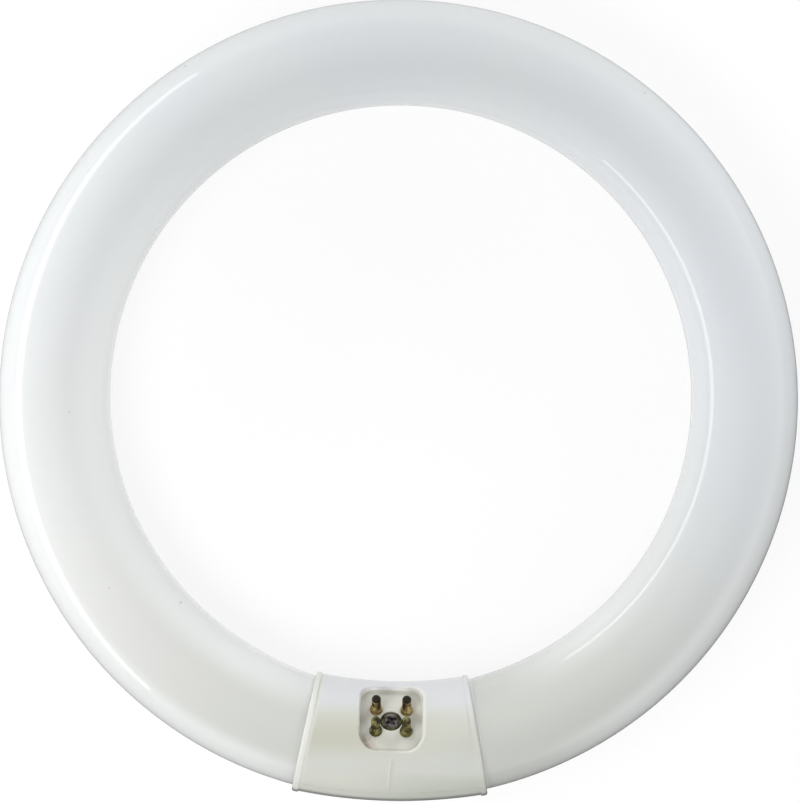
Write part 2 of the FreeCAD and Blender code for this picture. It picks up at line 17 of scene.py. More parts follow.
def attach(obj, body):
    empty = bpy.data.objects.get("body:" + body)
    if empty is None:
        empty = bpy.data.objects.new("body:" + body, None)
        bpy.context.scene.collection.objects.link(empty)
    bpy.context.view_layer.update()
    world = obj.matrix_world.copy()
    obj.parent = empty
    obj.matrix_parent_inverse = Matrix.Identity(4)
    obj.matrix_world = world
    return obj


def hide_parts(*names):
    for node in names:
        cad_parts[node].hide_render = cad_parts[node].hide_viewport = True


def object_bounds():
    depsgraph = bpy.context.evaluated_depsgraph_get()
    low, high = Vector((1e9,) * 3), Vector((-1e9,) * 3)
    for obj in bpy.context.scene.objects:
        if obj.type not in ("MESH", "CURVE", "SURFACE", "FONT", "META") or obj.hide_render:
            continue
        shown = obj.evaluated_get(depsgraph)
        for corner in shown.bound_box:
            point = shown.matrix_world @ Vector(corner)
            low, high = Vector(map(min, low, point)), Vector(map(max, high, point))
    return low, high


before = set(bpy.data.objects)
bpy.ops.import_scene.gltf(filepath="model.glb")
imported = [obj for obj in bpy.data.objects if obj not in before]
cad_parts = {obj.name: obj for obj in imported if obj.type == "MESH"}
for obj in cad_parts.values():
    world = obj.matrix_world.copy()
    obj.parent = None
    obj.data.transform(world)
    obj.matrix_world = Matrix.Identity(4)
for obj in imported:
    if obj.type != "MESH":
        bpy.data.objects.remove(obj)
cad_low, cad_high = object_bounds()
MM = 0.001
print("frame nodes:", sorted(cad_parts))

# %% [markdown]
# ## The camera
# The photo looks straight down the ring's axis from about 0.9 m, through a long lens, with the ring
# filling the picture. The camera could stand exactly over the middle, but the photo's ring sits a pixel
# or two off centre and is turned by a little over a degree. A short move and a small turn of the camera
# give both, and the part stays where it is.

# %% Camera over the ring
IMAGE_HEIGHT = 802
SENSOR_WIDTH = 36 * MM
CAMERA_HEIGHT = 0.9
PIXEL = 0.2631 * MM
RING_OFF_CENTRE = (-1.6 * PIXEL, 1.95 * PIXEL)
CAMERA_ROLL = math.radians(1.3)

camera_data = bpy.data.cameras.new("camera")
camera_data.sensor_width = SENSOR_WIDTH / MM
camera_data.lens = SENSOR_WIDTH / MM * CAMERA_HEIGHT / (IMAGE_HEIGHT * PIXEL)
camera = bpy.data.objects.new("camera", camera_data)
camera.location = (-RING_OFF_CENTRE[0], -RING_OFF_CENTRE[1], CAMERA_HEIGHT)
camera.rotation_euler = (0, 0, CAMERA_ROLL)
bpy.context.scene.collection.objects.link(camera)
bpy.context.scene.camera = camera
bpy.context.scene.view_settings.view_transform = "Standard"
print(f"lens {camera_data.lens:.1f} mm")

# %% [markdown]
# ## Skins from stacked loops
# Everything new here is long and round: a bent tube, a turned pin, a screw. Each is a stack of closed
# loops of points, worked out as one array, with quads between neighbouring loops and a fan of triangles
# that closes each end on a single pole. One function can therefore put all of them into meshes.


# %% Loops to a closed mesh
def skin_loops(name, loops, first_pole, last_pole):
    """Make a closed piece from loops, an array of (rows, points round, 3), and the two poles that close it.

    Quad (i, j) joins points j and j + 1 of loop i to the same two points of loop i + 1.
    """
    rows, around = loops.shape[:2]
    row, column = np.meshgrid(np.arange(rows - 1), np.arange(around), indexing="ij")
    beside = (column + 1) % around
    quads = np.stack([row * around + column, row * around + beside,
                      (row + 1) * around + beside, (row + 1) * around + column], axis=-1).reshape(-1, 4)
    corner = np.arange(around)
    next_corner = (corner + 1) % around
    first, last, last_row = rows * around, rows * around + 1, (rows - 1) * around
    first_fan = np.stack([np.full(around, first), next_corner, corner], axis=-1)
    last_fan = np.stack([np.full(around, last), last_row + corner, last_row + next_corner], axis=-1)
    points = np.concatenate([loops.reshape(-1, 3), [first_pole], [last_pole]])
    mesh = bpy.data.meshes.new(name)
    mesh.from_pydata(points.tolist(), [], quads.tolist() + first_fan.tolist() + last_fan.tolist())
    turn_outwards(mesh)
    mesh.shade_smooth()
    piece = bpy.data.objects.new(name, mesh)
    bpy.context.scene.collection.objects.link(piece)
    return piece


def turn_outwards(mesh):
    """Point every face of a closed mesh outwards."""
    work = bmesh.new()
    work.from_mesh(mesh)
    bmesh.ops.recalc_face_normals(work, faces=work.faces)
    work.to_mesh(mesh)
    work.free()


def smoothstep(low, high, amount):
    """Give 0 below low, 1 above high, and the S-curve 3 t^2 - 2 t^3 between them."""
    share = np.clip((amount - low) / (high - low), 0, 1)
    return share * share * (3 - 2 * share)


# %% [markdown]
# ## The glass
# A tube that is bent hot round a drum never stays quite round. In the photo the outside is a true circle,
# but the inside is a circle a little off centre, so the tube is widest at the lower left and narrowest at
# the upper right. The skin follows those two circles, with an ellipse between them as its section. Inside
# the cap it goes back to the round tube that the cap was made for, and closes in a shoulder with a sealed
# exhaust stub.

# %% Glass sizes
RING_RADIUS = 90.7 * MM
TUBE_RADIUS = 14.3 * MM
OUTSIDE_RADIUS = RING_RADIUS + TUBE_RADIUS
INSIDE_RADIUS = 76.45 * MM
INSIDE_OFFSET = (0.6 * MM, 0.83 * MM)
HALF_WIDTH_IN_CAP = 14.55 * MM
MIDDLE_IN_CAP = 90.5 * MM
CAP_ANGLE = math.radians(270)
# Either side of the cap's middle, the tube is round up to one angle and has its own shape from another.
ROUND_ANGLE = math.radians(14.4)
SETTLED_ANGLE = math.radians(32)
GLASS_END_X = 10.55 * MM
SHOULDER_RADIUS = 6.0 * MM
STUB_RADIUS = 2.3 * MM
STUB_LENGTH = 3.6 * MM
ROWS_ALONG, POINTS_ROUND, QUARTER_POINTS = 620, 88, 9


# %% Glass section and ends
def glass_section(angle):
    """Return the middle radius and half width of the tube at an angle round the ring.

    The inside radius at an angle is the way from the ring's centre to the offset inner circle. Near the cap
    both go over to the round tube's.
    """
    x, y = INSIDE_OFFSET
    along = x * np.cos(angle) + y * np.sin(angle)
    aside = x * np.sin(angle) - y * np.cos(angle)
    inside = along + np.sqrt(INSIDE_RADIUS ** 2 - aside ** 2)
    turn_from_cap = np.abs(np.angle(np.exp(1j * (angle - CAP_ANGLE))))
    free = smoothstep(ROUND_ANGLE, SETTLED_ANGLE, turn_from_cap)
    middle = free * (OUTSIDE_RADIUS + inside) / 2 + (1 - free) * MIDDLE_IN_CAP
    half_width = free * (OUTSIDE_RADIUS - inside) / 2 + (1 - free) * HALF_WIDTH_IN_CAP
    return middle, half_width


def end_profile():
    """Return how far each row of a closed end lies from the glass end, and its share of the tube's radius.

    The rows are the stub's quarter-circle tip, its root, and the shoulder's quarter circle.
    """
    quarter = np.linspace(0, np.pi / 2, QUARTER_POINTS)[1:]
    stub = STUB_RADIUS / TUBE_RADIUS
    flat = 1 - SHOULDER_RADIUS / TUBE_RADIUS
    places = [-STUB_LENGTH + STUB_RADIUS * (1 - np.cos(quarter)), [0.0, 0.0],
              SHOULDER_RADIUS * (1 - np.cos(quarter))]
    shares = [stub * np.sin(quarter), [stub, flat], flat + (1 - flat) * np.sin(quarter)]
    return np.concatenate(places), np.concatenate(shares)


def make_glass():
    """The bent tube: at ring angle a and section angle b, radius = middle + half width * share * cos b and
    height = tube radius * share * sin b, where share is 1 but at the two closed ends."""
    end_places, end_shares = end_profile()
    end_angle = math.asin(GLASS_END_X / RING_RADIUS)
    end_turns = end_angle + end_places / RING_RADIUS
    free_turns = np.linspace(end_turns[-1], 2 * np.pi - end_turns[-1], ROWS_ALONG)[1:-1]
    turn = np.concatenate([end_turns, free_turns, 2 * np.pi - end_turns[::-1]])
    share = np.concatenate([end_shares, np.ones(len(free_turns)), end_shares[::-1]])
    angle = (CAP_ANGLE + turn)[:, None]
    share = share[:, None]
    section = np.linspace(0, 2 * np.pi, POINTS_ROUND, endpoint=False)[None, :]
    middle, half_width = glass_section(angle)
    radius = middle + half_width * share * np.cos(section)
    height = TUBE_RADIUS * share * np.sin(section)
    loops = np.stack([radius * np.cos(angle), radius * np.sin(angle), height + 0 * angle], axis=-1)
    tip_turn = end_angle - STUB_LENGTH / RING_RADIUS
    poles = [(RING_RADIUS * math.cos(CAP_ANGLE + side * tip_turn),
              RING_RADIUS * math.sin(CAP_ANGLE + side * tip_turn), 0) for side in (1, -1)]
    return skin_loops("glass_skin", loops, *poles)


glass = make_glass()
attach(glass, "root")
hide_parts("glass_tube")
print("glass skin:", len(glass.data.polygons), "faces")

# %% [markdown]
# ## Places in the cap
# The pins lean 36 degrees from the ring's axis towards its centre. It is easiest to think of each pin
# upright, in a frame of the cap's own: the origin on the tube's middle line, Z along the pins and X along
# the tube. One matrix carries finished points from there into place, so the pieces' own objects stay at
# the origin.

# %% The cap's own frame
PIN_TILT = math.radians(36)
RECESS_FLOOR = 11.6 * MM
PIN_PITCH_ALONG = 7.92 * MM
PIN_PITCH_ACROSS = 6.35 * MM
PIN_PLACES = [(-1, -1), (1, -1), (-1, 1), (1, 1)]
CAP_FRAME = Matrix.Translation((0, -RING_RADIUS, 0)) @ Matrix.Rotation(-PIN_TILT, 4, "X")


def turned_loops(radii, heights, around):
    """Turn a profile about Z: point (i, j) = (r_i cos a_j, r_i sin a_j, h_i)."""
    angle = np.linspace(0, 2 * np.pi, around, endpoint=False)[None, :]
    radius, height = np.asarray(radii)[:, None], np.asarray(heights)[:, None]
    return np.stack([radius * np.cos(angle), radius * np.sin(angle), height + 0 * angle], axis=-1)


def arc(centre, radius, start, end, count):
    """Return the radii and heights of points on an arc of a profile, at angles in degrees from outwards."""
    angle = np.radians(np.linspace(start, end, count))
    return centre[0] + radius[0] * np.cos(angle), centre[1] + radius[1] * np.sin(angle)


# %% [markdown]
# ## The contact pins
# Each pin is a thin brass sleeve that was spun into a bell at its foot, riveted under the recess's floor,
# and soldered shut over its lead wire at the tip, with a crimp just below. A cone and a cylinder would
# read as a plain peg, so the profile is made of arcs: a domed tip, a soft crimp groove, and a bell for a
# foot.

# %% Pin profile and pins
PIN_RADIUS = 1.18 * MM
PIN_LENGTH = 6.6 * MM
DOME_HEIGHT = PIN_RADIUS * 0.9
CRIMP_HEIGHT = 5.25 * MM
CRIMP_DEPTH = 0.22 * MM
CRIMP_HALF_WIDTH = 0.42 * MM
FOOT_RADIUS = 1.7 * MM
FOOT_RIM = 0.32 * MM
FOOT_EDGE = 0.12 * MM
FOOT_HEIGHT = 1.35 * MM
TAIL_RADIUS = 1.55 * MM
TAIL_LEVEL = -1.7 * MM
TAIL_EDGE = 0.1 * MM
FLOOR_THICKNESS = 1.2 * MM
BORE_RADIUS = 0.46 * MM
BORE_START = TAIL_LEVEL + 0.3 * MM
BORE_END = 5.6 * MM
PIN_ROUND = 40
# The dome stops a little short of its pole, where a fan of triangles closes it. Angles are in degrees.
DOME_START = 86
ARC_POINTS, CRIMP_POINTS, EDGE_POINTS = 12, 11, 5


def pin_profile():
    """Return the pin's outline from its tip down its outside, round its tail and up its bore."""
    tip = arc((0, PIN_LENGTH - DOME_HEIGHT), (PIN_RADIUS, DOME_HEIGHT), DOME_START, 0, ARC_POINTS)
    crimp_heights = np.linspace(CRIMP_HEIGHT + CRIMP_HALF_WIDTH, CRIMP_HEIGHT - CRIMP_HALF_WIDTH,
                                CRIMP_POINTS)
    depth = 0.5 + 0.5 * np.cos(np.pi * (crimp_heights - CRIMP_HEIGHT) / CRIMP_HALF_WIDTH)
    crimp = PIN_RADIUS - CRIMP_DEPTH * depth, crimp_heights
    foot = arc((PIN_RADIUS, FOOT_RIM), (FOOT_RADIUS - PIN_RADIUS, FOOT_HEIGHT - FOOT_RIM), 90, 0,
               ARC_POINTS)
    edge = arc((FOOT_RADIUS - FOOT_EDGE, FOOT_EDGE), (FOOT_EDGE, FOOT_EDGE), 0, -90, EDGE_POINTS)
    hole = [PIN_RADIUS, PIN_RADIUS], [0.0, -FLOOR_THICKNESS]
    tail = ([TAIL_RADIUS, TAIL_RADIUS, TAIL_RADIUS - TAIL_EDGE, BORE_RADIUS],
            [-FLOOR_THICKNESS, TAIL_LEVEL + TAIL_EDGE, TAIL_LEVEL, TAIL_LEVEL])
    bore = [BORE_RADIUS, BORE_RADIUS], [BORE_START, BORE_END]
    radii, heights = zip(tip, crimp, foot, edge, hole, tail, bore)
    return np.concatenate(radii), np.concatenate(heights)


def make_pin(number, along, across):
    """Turn the profile and stand it on the recess's floor."""
    radii, heights = pin_profile()
    pin = skin_loops(f"pin_skin_{number}", turned_loops(radii, heights, PIN_ROUND),
                     (0, 0, PIN_LENGTH), (0, 0, BORE_END))
    foot = Matrix.Translation((along * PIN_PITCH_ALONG / 2, across * PIN_PITCH_ACROSS / 2, RECESS_FLOOR))
    pin.data.transform(CAP_FRAME @ foot)
    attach(pin, "root")
    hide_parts(f"contact_pin_{number}")
    return pin


pins = [make_pin(number, *place) for number, place in enumerate(PIN_PLACES, start=1)]
print("pin skin:", len(pins[0].data.polygons), "faces")

# %% [markdown]
# ## The screw
# One steel screw pulls the two halves of the cap together. Only its head shows, a low dome with a cross
# recess. The recess is sunk into the same turned grid: the height drops where a point lies within either
# bar of a cross, deeper towards the middle as the tip of a driver is. The thread is the radius raised
# along a helix.

# %% Screw sizes and surface
HEAD_RADIUS = 2.7 * MM
HEAD_HEIGHT = 1.7 * MM
HEAD_SEAT = 10.1 * MM
HEAD_RIM = 0.55 * MM
HEAD_EDGE = 0.15 * MM
DOME_INSET = 0.02 * MM
FIRST_DOME_SHARE, DOME_ROWS = 0.03, 40
CROSS_HALF_WIDTH = 0.42 * MM
CROSS_HALF_LENGTH = 1.6 * MM
CROSS_DEPTH = 1.15 * MM
CROSS_SOFTNESS = 0.16 * MM
CROSS_SLOPE = 0.45
CROSS_TURN = math.radians(30)
SHANK_RADIUS = 1.45 * MM
SHANK_END = -7.8 * MM
CORE_RADIUS = 1.18 * MM
CORE_STEP = 0.1 * MM
THREAD_HEIGHT = 0.25 * MM
THREAD_PITCH = 1.1 * MM
THREAD_FLANK = 5
THREAD_ROWS = 150
SCREW_END = -17.1 * MM
POINT_LENGTH, POINT_SHARE = 0.5 * MM, 0.6
FULL_THREAD = SCREW_END + 2 * MM
SCREW_ROUND = 96


def cross_depth(x, y):
    """Return the depth of the cross recess at a point of the head.

    A bar's share is 1 inside its half width and half length and falls to 0 over the softness. The deeper of
    the two bars counts, and it slopes up from the middle to its end.
    """
    c, s = math.cos(CROSS_TURN), math.sin(CROSS_TURN)
    u, v = np.abs(x * c + y * s), np.abs(y * c - x * s)

    def bar(long_way, short_way):
        beside = 1 - smoothstep(CROSS_HALF_WIDTH - CROSS_SOFTNESS, CROSS_HALF_WIDTH + CROSS_SOFTNESS,
                                short_way)
        beyond = 1 - smoothstep(CROSS_HALF_LENGTH - 3 * CROSS_SOFTNESS, CROSS_HALF_LENGTH, long_way)
        slope = 1 - CROSS_SLOPE * np.clip(long_way / CROSS_HALF_LENGTH, 0, 1)
        return beside * beyond * slope

    return CROSS_DEPTH * np.maximum(bar(u, v), bar(v, u))


def make_screw():
    """Turn the head, shank and core, then sink the cross and raise the thread."""
    dome_radii = np.linspace(FIRST_DOME_SHARE, 1, DOME_ROWS) * (HEAD_RADIUS - DOME_INSET)
    dome_heights = HEAD_HEIGHT - HEAD_RIM * (dome_radii / HEAD_RADIUS) ** 4
    side_radii = [HEAD_RADIUS, HEAD_RADIUS, SHANK_RADIUS, SHANK_RADIUS, CORE_RADIUS]
    side_heights = [HEAD_HEIGHT - HEAD_RIM - HEAD_EDGE, 0.0, 0.0, SHANK_END, SHANK_END - CORE_STEP]
    thread_heights = np.linspace(SHANK_END - 2 * CORE_STEP, SCREW_END + POINT_LENGTH, THREAD_ROWS)
    radii = np.concatenate([dome_radii, side_radii, np.full(THREAD_ROWS, CORE_RADIUS),
                            [CORE_RADIUS * POINT_SHARE]])
    heights = np.concatenate([dome_heights, side_heights, thread_heights, [SCREW_END]])
    loops = turned_loops(radii, heights, SCREW_ROUND)
    on_dome = slice(0, len(dome_radii))
    loops[on_dome, :, 2] -= cross_depth(loops[on_dome, :, 0], loops[on_dome, :, 1])
    on_thread = slice(len(dome_radii) + len(side_radii), len(radii) - 1)
    height = loops[on_thread, :, 2]
    turn = np.linspace(0, 1, SCREW_ROUND, endpoint=False)[None, :]
    phase = (height / THREAD_PITCH - turn) % 1
    run_out = smoothstep(SCREW_END + POINT_LENGTH, FULL_THREAD, height)
    flanks = np.clip(1 - np.abs(phase - 0.5) * THREAD_FLANK, 0, 1)
    loops[on_thread, :, :2] *= (1 + THREAD_HEIGHT / CORE_RADIUS * run_out * flanks)[..., None]
    screw = skin_loops("screw_skin", loops, (0, 0, HEAD_HEIGHT - CROSS_DEPTH), (0, 0, SCREW_END))
    screw.data.transform(CAP_FRAME @ Matrix.Translation((0, 0, HEAD_SEAT)))
    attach(screw, "root")
    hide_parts("clamp_screw")
    return screw


screw = make_screw()
print("screw skin:", len(screw.data.polygons), "faces")

# %% [markdown]
# ## Shader sums as plain arithmetic
# A finish is mostly sums: a stain times a mask, one minus a distance. Wired by hand these take a page of
# nodes. A small class that wraps one output socket lets Python's own operators add the Math nodes, and
# its node() method adds any other node.


# %% Arithmetic on sockets
class Value:
    """One output socket of a node tree. Arithmetic on it adds Math nodes."""

    def __init__(self, tree, socket=None):
        self.tree = tree
        self.socket = socket

    def node(self, kind, settings=None, sockets=None, output=0):
        """Add a node, set its settings first and then its sockets, and return one of its outputs."""
        made = self.tree.nodes.new(kind)
        for name, setting in (settings or {}).items():
            setattr(made, name, setting)
        for key, given in (sockets or {}).items():
            if isinstance(given, Value):
                self.tree.links.new(given.socket, made.inputs[key])
            else:
                made.inputs[key].default_value = given
        return Value(self.tree, made.outputs[output])

    def math(self, operation, *numbers):
        return self.node("ShaderNodeMath", {"operation": operation}, dict(enumerate(numbers)))

    def vector_math(self, operation, *vectors, output="Vector"):
        sockets = dict(enumerate((self, *vectors)))
        return self.node("ShaderNodeVectorMath", {"operation": operation}, sockets, output)

    def __add__(self, other):
        return self.math("ADD", self, other)

    def __sub__(self, other):
        return self.math("SUBTRACT", self, other)

    def __rsub__(self, other):
        return self.math("SUBTRACT", other, self)

    def __mul__(self, other):
        return self.math("MULTIPLY", self, other)

    __radd__, __rmul__ = __add__, __mul__

    def size(self):
        """This number without its sign."""
        return self.math("ABSOLUTE", self)

    def root(self):
        """The square root of this number."""
        return self.math("SQRT", self)

    def at_least(self, other):
        """The larger of this number and another."""
        return self.math("MAXIMUM", self, other)

    def smooth(self, none, full):
        """0 up to none and 1 from full, with a soft step between. The value may rise or fall on its way."""
        falls = full < none
        sockets = {"Value": self, "From Min": min(none, full), "From Max": max(none, full),
                   "To Min": float(falls), "To Max": float(not falls)}
        return self.node("ShaderNodeMapRange", {"interpolation_type": "SMOOTHSTEP"}, sockets)

    def between(self, rise, fall):
        """1 between two soft steps, each given as its none and its full."""
        return self.smooth(*rise) * self.smooth(*fall)

    def noise(self, scale, detail=2.0, roughness=0.5, seed=0.0):
        """Noise from 0 to 1 at a scale in bumps per metre, on this vector."""
        sockets = {"Vector": self, "W": seed, "Scale": scale, "Detail": detail, "Roughness": roughness}
        return self.node("ShaderNodeTexNoise", {"noise_dimensions": "4D"}, sockets)

    def distance_to(self, point):
        """Distance in metres from this vector to a point."""
        return self.vector_math("DISTANCE", point, output="Value")

    def along(self, direction):
        """How far this vector reaches along a direction."""
        return self.vector_math("DOT_PRODUCT", direction, output="Value")

    def unit(self):
        """This vector at length 1."""
        return self.vector_math("NORMALIZE")

    def part(self, index):
        """The x, y or z of this vector."""
        return self.node("ShaderNodeSeparateXYZ", {}, {0: self}, index)


def blend(share, start, end):
    """Mix two colours, each a Value or three numbers."""
    def filled(colour):
        return colour if isinstance(colour, Value) else (*colour, 1)
    return share.node("ShaderNodeMix", {"data_type": "RGBA"}, {0: share, 6: filled(start), 7: filled(end)}, 2)


def washed(colour, *washes):
    """Lay washes over a colour in turn, each a share and the tint that it leads to."""
    for share, tint in washes:
        colour = blend(share, colour, tint)
    return colour


def new_material(name, fixed):
    """Start a material: return it, its Principled shader with the fixed sockets set, and its coordinates."""
    material = bpy.data.materials.new(name)
    material.use_nodes = True
    shader = material.node_tree.nodes["Principled BSDF"]
    for socket, amount in fixed.items():
        shader.inputs[socket].default_value = amount
    place = Value(material.node_tree).node("ShaderNodeTexCoord", output="Object")
    return material, shader, place


def feed(shader, socket, given):
    """Link a Value into a socket of the Principled shader."""
    given.tree.links.new(given.socket, shader.inputs[socket])


def feed_bump(shader, height, strength, distance):
    """Bump the shader's normal by a height."""
    sockets = {"Strength": strength, "Distance": distance, "Height": height}
    feed(shader, "Normal", height.node("ShaderNodeBump", {}, sockets, "Normal"))


def dress(pieces, material):
    """Give pieces a material in place of any that they have."""
    for piece in pieces:
        piece.data.materials.clear()
        piece.data.materials.append(material)
    print(f"{material.name}: on {len(pieces)} pieces, {len(material.node_tree.nodes)} nodes")


# %% [markdown]
# ## Measures for the finishes
# Stains, tints, and painted light and shade lie where the object's shape puts them: beside the cap,
# round the recess, up a pin. A few measures say how far a place is from such a feature, and every mask
# below is a soft step on one of them. The cap bends less than the ring, so its own bend has a larger
# radius and a centre that lies further back.

# %% Places on the bend, on the cap and in its recess
RING_CENTRE = (0, 0, 0)
CAP_BEND = 120.6 * MM
CAP_BEND_CENTRE = (0, 30.6 * MM, 0)
CAP_OUTSIDE = 15.7 * MM
CAP_END_ANGLE = math.radians(10.9)
RECESS_HALF_LENGTH = 8.15 * MM
RECESS_HALF_WIDTH = 8.95 * MM
RECESS_CORNER = 4.0 * MM
CAP_ACROSS, CAP_UP = Vector((0, 1, 0)), Vector((0, 0, 1))


def on_plane(place):
    """A place, dropped on to the ring's own plane."""
    return place.vector_math("MULTIPLY", (1, 1, 0))


def past_cap_end(place):
    """How far a place lies beyond the nearer end of the cap. Both ends are planes through the bend's axis."""
    from_bend_axis = place.part(1) - CAP_BEND_CENTRE[1]
    return place.part(0).size() * math.cos(CAP_END_ANGLE) + from_bend_axis * math.sin(CAP_END_ANGLE)


def from_cap_level(place, axis, level=0.0):
    """How far a place lies along an axis of the cap's frame, from a level on that axis."""
    direction = CAP_FRAME.to_3x3() @ axis
    return place.along(tuple(direction)) - (CAP_FRAME @ (axis * level)).dot(direction)


def past_recess(place):
    """How far a place lies outside the recess's rounded outline, seen along the pins."""
    over_x = (place.part(0).size() - (RECESS_HALF_LENGTH - RECESS_CORNER)).at_least(0)
    over_y = (from_cap_level(place, CAP_ACROSS).size() - (RECESS_HALF_WIDTH - RECESS_CORNER)).at_least(0)
    return (over_x * over_x + over_y * over_y).root() - RECESS_CORNER


# %% [markdown]
# ## Coated glass
# The white is not the glass but the powder behind it: matt, very slightly mottled where it settled
# thinner, with a few dark specks. It is warmer at the front and bluer at the back and the right, and it
# is darker near the cap. Painted light makes it whiter along both bends and on the left, and paler just
# past the cap's right end, over the shade of the cap's step. The clear wall in front is a second, glossy
# layer, so the coat of the Principled shader is the right tool: a diffuse base under a clear coat. A grey
# tint on that coat draws the thin darker outline at the tube's edges, because light takes a longer way
# through it there.

# %% Powder colours and where they lie
POWDER_BLUISH = (0.694, 0.720, 0.741)
POWDER_WARM = (0.752, 0.752, 0.738)
POWDER_GREENISH = (0.735, 0.755, 0.742)
POWDER_THIN = (0.66, 0.68, 0.68)
# Painted light: a whiter powder laid along both bends and on the left side.
POWDER_PAINTED_LIGHT = (0.86, 0.88, 0.875)
POWDER_SKY = (0.730, 0.757, 0.790)
# A darker powder near the cap.
POWDER_DARKER_NEAR_CAP = (0.592, 0.604, 0.568)
# Painted light: a pale powder just past the cap's right end, laid over the shade of the cap's step.
PALE_POWDER_PAINTED_BY_CAP = (0.88, 0.88, 0.86)
SPECK_GREY = (0.42, 0.42, 0.40)
COAT_TINT = (0.90, 0.90, 0.90, 1)
# Each pair is where a mask is none and where it is full: metres, or parts of a direction of length 1.
FRONT_TO_BACK = (-80 * MM, 80 * MM)
TO_THE_RIGHT = (0.3, 0.95)
# The next pair sets the share of painted light on the left side.
TO_THE_LEFT = (-0.55, -1.0)
# Where the powder near the cap is darker, and how far that reaches.
DARKER_NEAR_CAP_MIDDLE = (14 * MM, -RING_RADIUS, 0)
DARKER_NEAR_CAP_REACH = (130 * MM, 20 * MM)
# Where painted light whitens the powder along the inner and outer bends, fading near the cap.
OFF_CAP_REACH = (12 * MM, 55 * MM)
INNER_BEND = (86.5 * MM, 77.5 * MM)
INNER_BEND_WAY, INNER_BEND_TURN = (0.3, 0.5, 0), (0.55, -0.5)
OUTER_BEND = (96 * MM, 101 * MM)
OUTER_BEND_TURN = (0.2, -0.6)
# How far past the cap's end the painted light reaches, and how it fades towards the left.
PAINTED_LIGHT_PAST_CAP_END, PAINTED_LIGHT_ON_RIGHT = (0.9 * MM, 0.35 * MM), (-10 * MM, 10 * MM)
UPPER_SIDE = (0, 2 * MM)
# Dark specks under the glass: place in mm on the picture's plane, and radius in mm.
SPECKS = [(-85.2, -5.2, 0.35), (-73.8, -50.6, 0.30), (-55.6, -54.4, 0.45),
          (-57.6, 85.6, 0.4), (62.4, 81.2, 0.4)]


# %% Coated glass
def make_coated_glass():
    material, shader, place = new_material("coated_glass", {
        "Roughness": 0.62, "Specular IOR Level": 0.2, "Coat Weight": 1.0, "Coat Roughness": 0.030,
        "Coat IOR": 1.54, "Coat Tint": COAT_TINT})
    flat_place = on_plane(place)
    way = flat_place.unit()
    from_cap = flat_place.distance_to(DARKER_NEAR_CAP_MIDDLE)
    from_centre = flat_place.distance_to(RING_CENTRE)
    mottle = place.noise(scale=26, detail=3, roughness=0.55).smooth(0.35, 0.65)
    fine = place.noise(scale=420, detail=2, seed=3.0).smooth(0.3, 0.7)
    # Painted light: the powder is whitened along the inner bend, mostly at the lower left, and along the
    # outer bend, mostly at the front.
    lower_left = way.along(INNER_BEND_WAY).smooth(*INNER_BEND_TURN) * 0.85 + 0.10
    inner_bend = from_centre.smooth(*INNER_BEND) * lower_left
    outer_bend = from_centre.smooth(*OUTER_BEND) * (way.part(1).smooth(*OUTER_BEND_TURN) * 0.6 + 0.4)
    bends_painted_light = inner_bend.at_least(outer_bend * 0.7) * from_cap.smooth(*OFF_CAP_REACH)
    # Painted light over the shade just past the cap's right end.
    painted_light_past_cap = past_cap_end(place).smooth(*PAINTED_LIGHT_PAST_CAP_END) * place.part(0).smooth(*PAINTED_LIGHT_ON_RIGHT)
    colour = washed(blend(place.part(1).smooth(*FRONT_TO_BACK), POWDER_WARM, POWDER_BLUISH),
                    (mottle * 0.35, POWDER_GREENISH),
                    (fine * 0.12, POWDER_THIN),
                    (way.part(0).smooth(*TO_THE_RIGHT) * 0.9, POWDER_SKY),
                    (from_cap.smooth(*DARKER_NEAR_CAP_REACH), POWDER_DARKER_NEAR_CAP),
                    # Painted light along the bends and on the left:
                    (bends_painted_light, POWDER_PAINTED_LIGHT),
                    (way.part(0).smooth(*TO_THE_LEFT) * 0.18, POWDER_PAINTED_LIGHT),
                    (painted_light_past_cap, PALE_POWDER_PAINTED_BY_CAP))
    upper_side = place.part(2).smooth(*UPPER_SIDE)
    for x, y, radius in SPECKS:
        speck = flat_place.distance_to((x * MM, y * MM, 0)).smooth(radius * MM, radius * 0.4 * MM)
        colour = blend(speck * upper_side * 0.5, colour, SPECK_GREY)
    feed(shader, "Base Color", colour)
    feed_bump(shader, place.noise(scale=38, detail=1, seed=7.0), strength=0.25, distance=2 * MM)
    return material


dress([glass], make_coated_glass())

# %% [markdown]
# ## Moulded cap
# The cap is a satin white moulding, cool and pale, with a yellowed band along it. A painted sheen makes its
# side towards the ring's centre lighter and bluish. Painted light makes its lips paler, mostly the left one,
# and a soft band of painted shade lies along its outer face beside the parting line. A faint seam runs from
# the recess towards the front, with a painted highlight along it and painted shade on its right. Painted
# light makes the recess and the cap's end faces lighter, the recess walls most, and a painted highlight
# runs along the recess's rim on the right. The recess's floor is warm, and one corner is browned.

# %% Cap colours and where they lie
CAP_PALE = (0.579, 0.590, 0.541)
CAP_COOL = (0.573, 0.592, 0.573)
CAP_YELLOWED = (0.497, 0.501, 0.420)
# Painted sheen: a lighter, bluish tone on the cap's side towards the ring's centre.
CAP_PAINTED_SHEEN = (0.642, 0.650, 0.668)
CAP_FOOT_LEFT = (0.589, 0.600, 0.541)
CAP_FOOT_RIGHT = (0.516, 0.535, 0.476)
# Painted light: paler plastic on the lips, mostly the left one, and a painted highlight along the seam.
CAP_PAINTED_LIGHT = (0.672, 0.682, 0.638)
# Painted shade: a dark band along the cap's outer face beside the parting line.
CAP_PAINTED_SHADE = (0.21, 0.22, 0.21)
# Painted light: the recess's walls, and its warm floor less so, are lighter than the cap to lift their shade.
RECESS_WALL_PAINTED_LIGHT = (0.94, 0.93, 0.95)
RECESS_FLOOR_WARM_PAINTED_LIGHT = (0.64, 0.635, 0.57)
RECESS_BURNT = (0.50, 0.37, 0.27)
